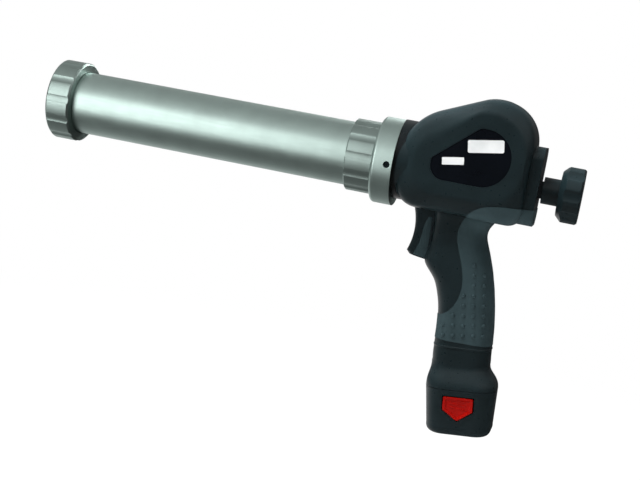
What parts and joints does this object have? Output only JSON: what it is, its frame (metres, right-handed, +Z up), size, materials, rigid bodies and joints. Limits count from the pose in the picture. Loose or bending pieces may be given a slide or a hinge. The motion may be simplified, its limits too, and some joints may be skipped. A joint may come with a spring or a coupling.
{
  "type": "cordless caulking gun",
  "caption": "Battery caulking gun: aluminium barrel for sealant bags, toothed push rod with piston and pull knob, gear drive in a moulded pistol housing, plug-in battery.",
  "frame": {"origin": "middle of the nozzle opening, on its front face", "axes": "+X runs back along the barrel axis to the pull knob, +Z up, the grip hangs to -Z; the side with the label is -Y"},
  "size_m": [0.4634, 0.0728, 0.2806],
  "materials": {
    "anodised_metal": "satin anodised",
    "black_plastic": "fine moulded texture",
    "grip_rubber": "soft moulded rubber",
    "seal_rubber": "smooth",
    "label_gloss": "gloss, blank",
    "latch_red": "semi gloss",
    "steel": "machined",
    "bearing_bronze": "machined",
    "guide_plastic": "moulded",
    "cell_case": "wrapped cell"
  },
  "bodies": {
    "base": {"collar": "anodised_metal", "rod_guide_front": "guide_plastic", "rod_guide_rear": "guide_plastic", "housing_left": "black_plastic", "housing_right": "black_plastic", "grip_rubber_left": "grip_rubber", "grip_rubber_right": "grip_rubber", "side_label": "label_gloss", "housing_screws": "steel", "gear_plate_left": "steel", "gear_plate_right": "steel", "frame_pillars": "steel", "pinion_bushes": "bearing_bronze", "idler_bushes": "bearing_bronze", "output_bush": "bearing_bronze", "motor_standoffs": "steel", "motor_can": "steel", "motor_cap": "guide_plastic", "gearhead_case": "steel", "trigger_switch": "guide_plastic", "contact_block": "guide_plastic", "rod_shoe": "guide_plastic"},
    "plunger": {"push_rod": "steel", "piston": "anodised_metal", "piston_seal": "seal_rubber", "piston_screw": "steel", "rod_knob": "black_plastic"},
    "pinion_set": {"pinion_shaft": "steel", "rack_pinion": "steel", "final_gear": "steel"},
    "idler_set": {"idler_shaft": "steel", "idler_pinion": "steel", "idler_wheel": "steel"},
    "output_set": {"output_shaft": "steel", "motor_pinion": "steel"},
    "trigger_set": {"trigger": "black_plastic", "switch_plunger": "guide_plastic"},
    "battery": {"battery_case": "black_plastic", "battery_base": "black_plastic", "battery_cells": "cell_case", "battery_contacts": "bearing_bronze"},
    "left_latch": {"latch_button_left": "latch_red"},
    "right_latch": {"latch_button_right": "latch_red"},
    "barrel": {"barrel_tube": "anodised_metal"},
    "clamp_nut": {"barrel_nut": "anodised_metal"},
    "nozzle_holder": {"nozzle_ring": "black_plastic"},
    "screw_cap": {"front_cap": "anodised_metal"}
  },
  "joints": [
    {"name": "plunger_slide", "type": "slide", "parent": "base", "child": "plunger", "axis": [1, 0, 0], "range_m": [0, 0.26]},
    {"name": "pinion_turn", "type": "hinge", "parent": "base", "child": "pinion_set", "pos_m": [0.351, 0, 0.0178], "axis": [0, 1, 0], "range_deg": [-1245, 0]},
    {"name": "idler_turn", "type": "hinge", "parent": "base", "child": "idler_set", "pos_m": [0.37438, 0, 0.0313], "axis": [0, 1, 0], "range_deg": [0, 3550]},
    {"name": "output_turn", "type": "hinge", "parent": "base", "child": "output_set", "pos_m": [0.39565, 0, 0.03505], "axis": [0, 1, 0], "range_deg": [-10140, 0]},
    {"name": "trigger_pull", "type": "slide", "parent": "base", "child": "trigger_set", "axis": [1, 0, 0], "range_m": [0, 0.0065], "stiffness_N_per_m": 900, "springref_m": -0.003},
    {"name": "battery_slide", "type": "slide", "parent": "base", "child": "battery", "axis": [0.1219, 0, -0.9925], "range_m": [0, 0.08]},
    {"name": "left_latch_press", "type": "slide", "parent": "battery", "child": "left_latch", "axis": [0, 1, 0], "range_m": [0, 0.0025], "stiffness_N_per_m": 1500, "springref_m": -0.001},
    {"name": "right_latch_press", "type": "slide", "parent": "battery", "child": "right_latch", "axis": [0, -1, 0], "range_m": [0, 0.0025], "stiffness_N_per_m": 1500, "springref_m": -0.001},
    {"name": "barrel_slide", "type": "slide", "parent": "base", "child": "barrel", "axis": [-1, 0, 0], "range_m": [0, 0.009]},
    {"name": "nut_turn", "type": "hinge", "parent": "barrel", "child": "clamp_nut", "pos_m": [0.286, 0, 0], "axis": [-1, 0, 0], "range_deg": [0, 1085]},
    {"name": "cap_slide", "type": "slide", "parent": "barrel", "child": "nozzle_holder", "axis": [-1, 0, 0], "range_m": [0, 0.018]},
    {"name": "cap_turn", "type": "hinge", "parent": "nozzle_holder", "child": "screw_cap", "pos_m": [0.011, 0, 0], "axis": [-1, 0, 0], "range_deg": [0, 2165]}
  ],
  "couplings": [
    {"joint": "pinion_turn", "follows": "plunger_slide", "rad_per_m": -83.333},
    {"joint": "idler_turn", "follows": "plunger_slide", "rad_per_m": 238.1},
    {"joint": "output_turn", "follows": "plunger_slide", "rad_per_m": -680.27},
    {"joint": "nut_turn", "follows": "barrel_slide", "rad_per_m": 2094.4},
    {"joint": "cap_turn", "follows": "cap_slide", "rad_per_m": 2094.4}
  ]
}
